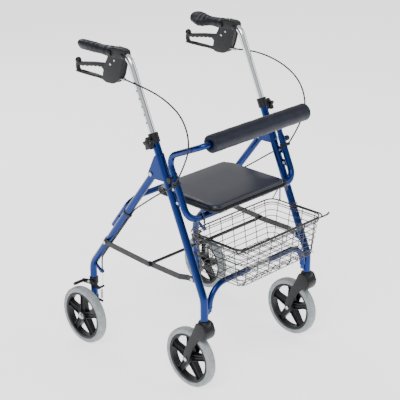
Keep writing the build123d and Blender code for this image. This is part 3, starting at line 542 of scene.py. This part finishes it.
RIM_Z, FLOOR_Z = 0.500, 0.3695
RIM_X, RIM_REAR, RIM_FRONT = 0.190, -0.143, -0.361
FLOOR_X, FLOOR_REAR, FLOOR_FRONT = 0.172, -0.160, -0.345
middle_y = (RIM_REAR + RIM_FRONT) / 2
half_y = (RIM_REAR - RIM_FRONT) / 2


def level(t):
    """Half sizes of the basket at a height from 0, the floor, to 1, the rim."""
    floor_half_y = (FLOOR_REAR - FLOOR_FRONT) / 2
    return (FLOOR_X + (RIM_X - FLOOR_X) * t) / RIM_X, (floor_half_y * (1 - t) + half_y * t) / half_y


hoop = [(-RIM_X, -half_y, 0), (RIM_X, -half_y, 0), (RIM_X, half_y, 0), (-RIM_X, half_y, 0)]
HOOPS = 7
low, high = level(0.0), level(0.87)
hoop_gap = (RIM_Z - FLOOR_Z) * 0.87 / (HOOPS - 1)
basket_parts = [wire_row(hoop, HOOPS, (0, middle_y, FLOOR_Z), (0, 0, hoop_gap),
                         ((low[0], low[1], 1), (high[0], high[1], 1)), 0.028, 0.00135, True)]
for z, radius in ((RIM_Z, 0.0024), (RIM_Z - 0.011, 0.0018)):
    basket_parts.append(wire_row(hoop, 1, (0, middle_y, z), bend=0.030, radius=radius, closed=True))
across_path = [(0, RIM_REAR, RIM_Z), (0, FLOOR_REAR, FLOOR_Z), (0, FLOOR_FRONT, FLOOR_Z),
               (0, RIM_FRONT, RIM_Z)]
basket_parts.append(wire_row(across_path, 7, (-0.156, 0, 0), (0.052, 0, 0), bend=0.010))
along_path = [(-RIM_X, 0, RIM_Z), (-FLOOR_X, 0, FLOOR_Z), (FLOOR_X, 0, FLOOR_Z), (RIM_X, 0, RIM_Z)]
basket_parts.append(wire_row(along_path, 4, (0, middle_y - 0.078, 0), (0, 0.052, 0), bend=0.010))
floor_path = [(0, FLOOR_REAR + 0.002, FLOOR_Z + 0.0025), (0, FLOOR_FRONT - 0.002, FLOOR_Z + 0.0025)]
basket_parts.append(wire_row(floor_path, 12, (-0.143, 0, 0), (0.026, 0, 0), radius=0.0012))
zigzag = []
for step in range(17):
    raised = step % 2
    zigzag.append((-0.168 + 0.021 * step, RIM_FRONT + 0.0155 - 0.001 * raised, 0.372 + 0.020 * raised))
basket_parts.append(wire_row(zigzag, bend=0.004, radius=0.0012))
for s in SIDES.values():
    x = s * RIM_X
    hook = [(x, -0.1798, 0.499), (x, -0.1798, 0.530)]
    for step in range(13):
        angle = pi * step / 12
        hook.append((x, -0.1937 + 0.0139 * cos(angle), 0.562 + 0.0139 * sin(angle)))
    hook += [(x, -0.2076, 0.548), (x, -0.2110, 0.544)]
    basket_parts.append(wire_row(hook, radius=0.0024))
    basket_parts.append(wire_row([(x, -0.149, 0.499), (x, -0.1790, 0.552)], radius=0.002))
    basket_parts.append(wire_row([(x, -0.235, RIM_Z), (s * 0.211, -0.235, RIM_Z + 0.001)], radius=0.0026))
basket = join("wire_basket", *basket_parts)
basket.data.polygons.foreach_set("use_smooth", [True] * len(basket.data.polygons))
put(basket, "basket", "basket_wire", "basket")

# Moulded end blocks clip the carrying handle to the rim's front corners.
for side, s in SIDES.items():
    block = moulded(f"basket_clip_{side}", [rounded([(-243, 494), (-227, 494), (-227, 506), (-243, 506)], 1)],
                    s * 187, s * 193.2, 1.2, nylon)
    put(block, "basket", "charcoal_plastic")
paint(dipped, "basket_bail")
BAIL_FRONT = -0.3674
for side, s in SIDES.items():
    ear_path = [(s * 0.178, BAIL_FRONT, RIM_Z), (s * 0.205, BAIL_FRONT, RIM_Z),
                (s * 0.214, BAIL_FRONT, RIM_Z + 0.005)]
    ear = wire_row(ear_path, bend=0.006, radius=0.0029)
    ear.name = f"bail_ear_{side}"
    put(ear, "basket_bail", "basket_wire")


# ---------------------------------------------------------------- seat pad
# A foam slab wrapped in navy-black vinyl and stapled under the board. The vinyl is crowned by
# the foam, rolls over the edges and has a sewn welt round its lower border.
vinyl, tree, surface = new_material("embossed_navy_black_vinyl", "#0e1220", 0.38, Coat_Weight=0.15,
                                    Coat_Roughness=0.35)
tree.links.new(ramp_between(tree, noise(tree, 0.03, 4.0), "#0a1020", "#0f172b"), surface.inputs["Base Color"])
place = add_node(tree, "ShaderNodeTexCoord")
pebble = add_node(tree, "ShaderNodeTexVoronoi", {"Scale": 1 / 0.0022, "feature": "DISTANCE_TO_EDGE"},
                  {"Vector": place.outputs["Object"]})
bump(tree, surface, pebble.outputs["Distance"], 0.22, 0.0004)
SEAT_X, SEAT_FRONT, SEAT_REAR = 0.170, -0.236, 0.046
FRONT_CORNER, REAR_CORNER = 0.030, 0.055


def seat_outline(grow=0.0, count=8):
    """Seat outline from above: tight front corners and rounder rear ones."""
    points = []
    for cx, cy, radius, start in ((1, -1, FRONT_CORNER, -90), (1, 1, REAR_CORNER, 0),
                                  (-1, 1, REAR_CORNER, 90), (-1, -1, FRONT_CORNER, 180)):
        edge_y = SEAT_REAR if cy > 0 else SEAT_FRONT
        for step in range(count + 1):
            angle = radians(start + 90 * step / count)
            points.append((cx * (SEAT_X - radius) + (radius + grow) * cos(angle),
                           edge_y - cy * radius + (radius + grow) * sin(angle)))
    return points


def simulate_pad(obj, voxel, cap, pressure=4.0):
    """Puff a closed shape up with cloth pressure, no point moving further than cap."""
    remesh = obj.modifiers.new("remesh", "REMESH")
    remesh.mode = "VOXEL"
    remesh.voxel_size = voxel
    bpy.context.view_layer.update()
    obj.data = bpy.data.meshes.new_from_object(obj.evaluated_get(bpy.context.evaluated_depsgraph_get()))
    obj.modifiers.clear()
    start = [v.co.copy() for v in obj.data.vertices]
    cloth = obj.modifiers.new("cloth", "CLOTH")
    cloth.settings.use_pressure = True
    cloth.settings.uniform_pressure_force = pressure
    cloth.settings.effector_weights.gravity = 0.0
    cloth.point_cache.frame_start = 1
    cloth.point_cache.frame_end = 20
    for number in range(1, 21):
        bpy.context.scene.frame_set(number)
    puffed = bpy.data.meshes.new_from_object(obj.evaluated_get(bpy.context.evaluated_depsgraph_get()))
    moved = [v.co.copy() for v in puffed.vertices]
    obj.modifiers.clear()
    bpy.context.scene.frame_set(1)
    for vertex, a, b in zip(obj.data.vertices, start, moved):
        step = b - a
        vertex.co = a + step * min(1.0, cap / max(step.length, 1e-9))
    return obj


layers = [(0.5762, -0.003), (0.5780, 0.0), (0.5880, 0.0), (0.5930, -0.0025), (0.5950, -0.007)]
verts, faces = [], []
count = len(seat_outline())
for z, grow in layers:
    verts += [(x, y, z) for x, y in seat_outline(grow)]
for layer in range(len(layers) - 1):
    for i in range(count):
        j = (i + 1) % count
        faces.append((layer * count + i, layer * count + j, (layer + 1) * count + j, (layer + 1) * count + i))
faces.append(tuple(reversed(range(count))))
faces.append(tuple(range((len(layers) - 1) * count, len(layers) * count)))
cushion = mesh_object("vinyl_seat_pad", verts, faces, vinyl)
simulate_pad(cushion, 0.005, 0.006)
for vertex in cushion.data.vertices:
    x, y, z = vertex.co
    inset = min(SEAT_X - abs(x), y - SEAT_FRONT, SEAT_REAR - y)
    crown = 1 - max(0.0, 1 - inset / 0.09) ** 2
    if z > 0.587:
        vertex.co.z = min(z, 0.5945) + 0.0052 * crown
    vertex.co.z = max(0.5760, vertex.co.z)
smoother = cushion.modifiers.new("smooth", "SMOOTH")
smoother.factor = 0.5
smoother.iterations = 9
divide = cushion.modifiers.new("subdivision", "SUBSURF")
divide.levels = divide.render_levels = 1
bpy.context.view_layer.update()
cushion.data = bpy.data.meshes.new_from_object(cushion.evaluated_get(bpy.context.evaluated_depsgraph_get()))
cushion.modifiers.clear()
cushion.data.materials.clear()
cushion.data.materials.append(vinyl)
cushion.data.polygons.foreach_set("use_smooth", [True] * len(cushion.data.polygons))
put(cushion, "seat", "seat_vinyl", "seat_pad")

welt_path = [(x, y, 0.5795) for x, y in seat_outline(0.0012)]
welt = wire_row(welt_path, radius=0.0019, closed=True, material=vinyl)
welt.name = "seat_welt"
put(welt, "seat", "seat_vinyl")


# ---------------------------------------------------------------- backrest sleeve
# Closed-cell foam tube pushed over the bar: soft matt skin with a faint grain, square-cut ends
# with rounded lips, slightly squeezed where it was slid into place.
foam, tree, surface = new_material("closed_cell_foam_skin", "#0d1019", 0.5, Specular_IOR_Level=0.3)
tree.links.new(ramp_between(tree, noise(tree, 0.02, 5.0), "#080d1c", "#0e1528"), surface.inputs["Base Color"])
cells = add_node(tree, "ShaderNodeTexVoronoi", {"Scale": 1 / 0.0014},
                 {"Vector": add_node(tree, "ShaderNodeTexCoord").outputs["Object"]})
bump(tree, surface, cells.outputs["Distance"], 0.25, 0.0003)
PAD_HALF, PAD_R = 0.2125, 0.028
profile = [(-PAD_HALF + 0.004, 0.0097), (-PAD_HALF, 0.0125), (-PAD_HALF, 0.0225)]
for step in range(7):
    angle = pi / 2 * step / 6
    profile.append((-PAD_HALF + 0.005 * (1 - cos(angle)), 0.0228 + 0.0048 * sin(angle)))
for step in range(1, 48):
    along = -PAD_HALF + 0.006 + (2 * PAD_HALF - 0.012) * step / 48
    profile.append((along, PAD_R - 0.0004 + 0.0003 * sin(along * 95)))
for step in range(7):
    angle = pi / 2 * (1 - step / 6)
    profile.append((PAD_HALF - 0.005 * (1 - cos(angle)), 0.0228 + 0.0048 * sin(angle)))
profile += [(PAD_HALF, 0.0225), (PAD_HALF, 0.0125), (PAD_HALF - 0.004, 0.0097)]
sleeve_shape = lathe(profile, (0, FRONT_LEG_Y, BACKREST_BAR_Z), steps=64)
sleeve = mesh_object("foam_backrest_sleeve", *sleeve_shape, foam)
put(sleeve, "backrest", "pad_foam", "backrest_pad")


# ---------------------------------------------------------------- handgrips
# Soft thermoplastic rubber, moulded over the bar: ring ribs at the neck, and a palm rest that
# swells out on the low inner side and the high outer side.
grip_rubber, tree, surface = new_material("moulded_soft_grip_rubber", "#13151c", 0.55, Specular_IOR_Level=0.3)
tone = ramp_between(tree, noise(tree, 0.012, 3.0), "#0d1019", "#141822")
tree.links.new(tone, surface.inputs["Base Color"])
dots = add_node(tree, "ShaderNodeTexVoronoi", {"Scale": 1 / 0.0030},
                {"Vector": add_node(tree, "ShaderNodeTexCoord").outputs["Object"]})
bump(tree, surface, dots.outputs["Distance"], 0.3, 0.0006)
GRIP_START, GRIP_END, GRIP_Z = 0.138, 0.270, 1.031


def swell(y, start, peak, end):
    """Smooth rise from start to peak and fall to end."""
    if y <= start or y >= end:
        return 0.0
    t = (y - start) / (peak - start) if y < peak else (end - y) / (end - peak)
    return t * t * (3 - 2 * t)


def grip_mesh(s):
    """Grip as rings of points along Y, closed at the rear end."""
    rings, around = [], 64
    ys = [GRIP_START + (GRIP_END - GRIP_START) * i / 88 for i in range(89)]
    verts, faces = [], []
    for y in ys:
        close = max(0.0, (y - (GRIP_END - 0.006)) / 0.006)
        body = 0.0163 * (1 - close ** 2 * 0.45) - 0.0010 * swell(y, 0.146, 0.178, 0.215)
        body += 0.0007 * cos((y - 0.170) / 0.018 * 2 * pi) * swell(y, 0.160, 0.205, 0.262)
        if y < 0.156:
            body += 0.0007 * (0.5 + 0.5 * cos((y - GRIP_START) / 0.0036 * 2 * pi))
        inner = 0.0150 * swell(y, 0.160, 0.220, 0.276) * (1 - close ** 2 * 0.5)
        outer = 0.0115 * swell(y, 0.180, 0.250, 0.290) * (1 - close ** 2 * 0.5)
        for step in range(around):
            angle = 2 * pi * step / around
            tilt = radians(29)
            low_side = max(0.0, cos(angle - (pi + tilt)))
            high_side = max(0.0, cos(angle - tilt))
            radius = body + inner * low_side ** 5 + outer * high_side ** 5
            verts.append((s * (LEG_X + radius * cos(angle)), y, GRIP_Z + radius * sin(angle)))
    for row in range(len(ys) - 1):
        for i in range(around):
            j = (i + 1) % around
            faces.append((row * around + i, row * around + j, (row + 1) * around + j, (row + 1) * around + i))
    last = (len(ys) - 1) * around
    faces.append(tuple(range(last, last + around)))
    faces.append(tuple(reversed(range(around))))
    return verts, faces


for side, s in SIDES.items():
    grip = mesh_object(f"handgrip_{side}_moulded", *grip_mesh(s), grip_rubber)
    put(grip, f"handle_{side}", "grip_rubber", f"handgrip_{side}")


# ---------------------------------------------------------------- brake housings
# Nylon shells in two halves, clamped round the handlebar: smooth-cornered cheeks with the lever
# between them, a clamp ring behind and a screw on top. Two rivets carry the lever.
def disc(name, x0, x1, y, z, radius, material, axis="X"):
    """Low round head with a domed edge, from one plane to another; millimetres."""
    low, high = sorted((x0, x1))
    rise = high - low
    rings = [(low, 0.01), (low, radius * 0.92), (low + rise * 0.2, radius), (high - rise * 0.4, radius),
             (high, radius * 0.72), (high, 0.01)]
    if x0 > x1:
        rings = [(low + high - along, r) for along, r in rings]
    centre = {"X": (0, y / 1000, z / 1000), "Y": (y / 1000, 0, z / 1000), "Z": (y / 1000, z / 1000, 0)}[axis]
    metres = [(a / 1000, r / 1000) for a, r in rings]
    return sharpen(mesh_object(name, *lathe(metres, centre, axis, 24), material), 50)


CHEEK = [(128, 1046), (107, 1051), (72, 1049), (57, 1044), (64, 1020), (80, 966), (91, 947), (112, 934),
         (147, 932), (164, 938), (160, 967), (150, 992), (136, 1014)]
BRIDGE = [(56, 1020), (56, 1046), (76, 1051), (128, 1047), (130, 1018)]
CORE = [(106, 1049), (72, 1047), (60, 1042), (66, 1020), (82, 966), (93, 950), (106, 940)]
for side, s in SIDES.items():
    x = s * LEG_X * 1000
    shells = [moulded("cheek", [rounded(CHEEK)], x + a, x + b, 1.8, nylon, 3)
              for a, b in ((-13.2, -6.9), (6.9, 13.2))]
    shells.append(moulded("core", [rounded(CORE, 1)], x - 7.5, x + 7.5, 0.6, nylon))
    shells.append(moulded("bridge", [rounded(BRIDGE, 1)], x - 13.8, x + 13.8, 3.2, nylon, 3))
    clamp = lathe([(0.118, 0.0111), (0.118, 0.0176), (0.121, 0.0186), (0.134, 0.0186), (0.137, 0.0172),
                   (0.137, 0.0111)], (s * LEG_X, 0, 1.031), "Y", 48)
    shells.append(mesh_object("clamp", *clamp, nylon))
    front_ring = lathe([(0.058, 0.0111), (0.058, 0.0150), (0.061, 0.0162), (0.072, 0.0162), (0.075, 0.0150),
                        (0.075, 0.0111)], (s * LEG_X, 0, 1.0295), "Y", 48)
    shells.append(mesh_object("front_ring", *front_ring, nylon))
    housing = sharpen(join(f"brake_housing_{side}_shells", *shells), 40)
    put(housing, f"handle_{side}", "charcoal_plastic", f"brake_housing_{side}")
    for name, y, z, radius in (("pivot_rivet", 123, 995, 4.2), ("shell_screw", 104, 1010, 3.6)):
        heads = [disc("head", x + face * 13.0, x + face * 14.4, y, z, radius, zinc) for face in (-1, 1)]
        put(join(f"{name}_{side}", *heads), f"handle_{side}", "zinc_steel")
    screw = disc(f"clamp_screw_{side}", 1049, 1053, x, 98, 4.0, zinc, "Z")
    put(screw, f"handle_{side}", "zinc_steel")

# ---------------------------------------------------------------- brake levers
# Glass-filled nylon loops: a scalloped finger side above, a flat parking side below, joined by
# a link and ended by a ball.
OUTER = [(118, 1004), (131, 1003), (148, 993), (165, 989), (215, 983), (255, 976), (278, 972),
         (288, 972), (298, 968), (300, 960), (299, 945), (294, 938), (280, 937), (230, 938), (196, 937),
         (180, 936), (160, 935), (150, 945), (146, 962), (128, 985), (114, 990)]
INNER = [(176, 944.5), (164, 952), (164, 966), (176, 976), (185, 972), (194, 975), (204, 970), (214, 972),
         (224, 967), (234, 969), (244, 963), (254, 965), (266, 960), (282, 962), (290, 957), (290, 949),
         (284, 944), (230, 944)]
for side, s in SIDES.items():
    x = s * LEG_X * 1000
    loop = moulded("loop", [rounded(OUTER), rounded(INNER, 1)], x - 6.2, x + 6.2, 1.4, nylon, 3)
    paddle = moulded("paddle", [rounded([(190, 937.5), (296, 937.5), (296, 944), (190, 944)], 1)],
                     x - 10, x + 10, 2.0, nylon, 3)
    ball_rings = [(-0.0102 * cos(pi * i / 12), max(0.00005, 0.0102 * sin(pi * i / 12))) for i in range(13)]
    ball = mesh_object("ball", *lathe(ball_rings, (s * LEG_X, 0.2915, 0.9745), "X", 24), nylon)
    lever = sharpen(join(f"brake_lever_{side}_moulded", loop, paddle, ball), 40)
    put(lever, f"brake_lever_{side}", "charcoal_plastic", f"brake_lever_{side}")

# ---------------------------------------------------------------- star knobs
# Five-lobed nylon knobs, moulded round the head of a clamp screw.
LEAN = radians(23.4)
knob_y, knob_z = -257 + 465 * tan(LEAN), 785
for side, s in SIDES.items():
    lobes = [(knob_y + (17.3 + 3.6 * cos(5 * a)) * cos(a), knob_z + (17.3 + 3.6 * cos(5 * a)) * sin(a))
             for a in [2 * pi * i / 80 for i in range(80)]]
    body = moulded("body", [lobes], s * 263.4, s * 277.2, 2.6, nylon, 3)
    cap = disc("cap", s * 276.5, s * 279, knob_y, knob_z, 9.5, nylon)
    knob = sharpen(join(f"star_knob_{side}_moulded", body, cap), 40)
    put(knob, f"star_knob_{side}", "charcoal_plastic", f"star_knob_{side}")

# ---------------------------------------------------------------- brake cables
# Steel wire in a black vinyl sheath, 5 mm across: looping forward from the lever, clipped to the
# seat support, then down the front of the rear leg.
sheath, tree, surface = new_material("black_vinyl_cable_sheath", "#0d0e10", 0.42, Specular_IOR_Level=0.3)
bump(tree, surface, noise(tree, 0.002, 2.0), 0.2, 0.0002)
UPPER_ROUTE = [(0.244, 0.069, 0.954), (0.258, 0.020, 0.956), (0.262, -0.038, 0.953), (0.262, -0.095, 0.943),
               (0.262, -0.143, 0.926), (0.261, -0.183, 0.902), (0.261, -0.208, 0.868), (0.261, -0.219, 0.828),
               (0.261, -0.214, 0.788), (0.260, -0.197, 0.750), (0.260, -0.175, 0.708), (0.260, -0.152, 0.672)]
LOWER_ROUTE = [(0.260, -0.152, 0.672), (0.260, -0.120, 0.650), (0.260, -0.085, 0.628), (0.258, -0.045, 0.600),
               (0.253, -0.002, 0.569), (0.243, 0.0468, 0.5356), (0.243, 0.0622, 0.5159),
               (0.243, 0.210, 0.3265),
               (0.243, 0.222, 0.311), (0.243, 0.222, 0.266)]


def cable(name, route, radius, material, fine=8):
    """A smooth round cable through a list of control points, as a mesh."""
    curve = bpy.data.curves.new(name, "CURVE")
    curve.dimensions = "3D"
    curve.bevel_depth = radius
    curve.bevel_resolution = 3
    curve.use_fill_caps = True
    spline = curve.splines.new("NURBS")
    spline.points.add(len(route) - 1)
    for point, place in zip(spline.points, route):
        point.co = (*place, 1)
    spline.order_u = 3
    spline.use_endpoint_u = True
    spline.resolution_u = fine
    obj = bpy.data.objects.new(name, curve)
    bpy.context.scene.collection.objects.link(obj)
    bpy.context.view_layer.update()
    data = bpy.data.meshes.new_from_object(obj.evaluated_get(bpy.context.evaluated_depsgraph_get()))
    bpy.data.objects.remove(obj)
    data.materials.clear()
    data.materials.append(material)
    data.polygons.foreach_set("use_smooth", [True] * len(data.polygons))
    made = bpy.data.objects.new(name, data)
    bpy.context.scene.collection.objects.link(made)
    return made


for side, s in SIDES.items():
    upper = cable(f"upper_cable_{side}", [(s * x, y, z) for x, y, z in UPPER_ROUTE], 0.0025, sheath)
    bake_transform(upper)
    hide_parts(f"brake_cable_upper_{side}")
    lower = cable(f"lower_cable_{side}", [(s * x, y, z) for x, y, z in LOWER_ROUTE], 0.0025, sheath)
    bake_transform(lower)
    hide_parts(f"brake_cable_lower_{side}")
    wire = cable(f"brake_wire_{side}", [(s * LEG_X, BRAKE_WIRE_Y, 0.264), (s * LEG_X, BRAKE_WIRE_Y, 0.235),
                                        (s * LEG_X, BRAKE_WIRE_Y, 0.207)], 0.0009, zinc)
    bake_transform(wire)

# ---------------------------------------------------------------- brake springs
# Close-wound steel springs that lift the brake bars off the tyres, hooked at both ends.
COIL_R = 0.0034
for side, s in SIDES.items():
    coil, turns = [], 14
    for step in range(turns * 14 + 1):
        angle = 2 * pi * step / 14
        coil.append((s * BRAKE_SPRING_X + COIL_R * cos(angle), BRAKE_WIRE_Y + COIL_R * sin(angle),
                     0.163 + 0.032 * step / (turns * 14)))
    spring_x = s * BRAKE_SPRING_X
    foot = [(spring_x, BRAKE_WIRE_Y, 0.156), (spring_x, 0.2235, 0.160)]
    head = [(spring_x, 0.2235, 0.198), (spring_x, BRAKE_WIRE_Y, 0.2035)]
    path = foot + coil + head
    spring = wire_row(path, radius=0.00075, material=zinc)
    spring.name = f"brake_spring_{side}"
    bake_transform(spring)
    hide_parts("brake_springs")
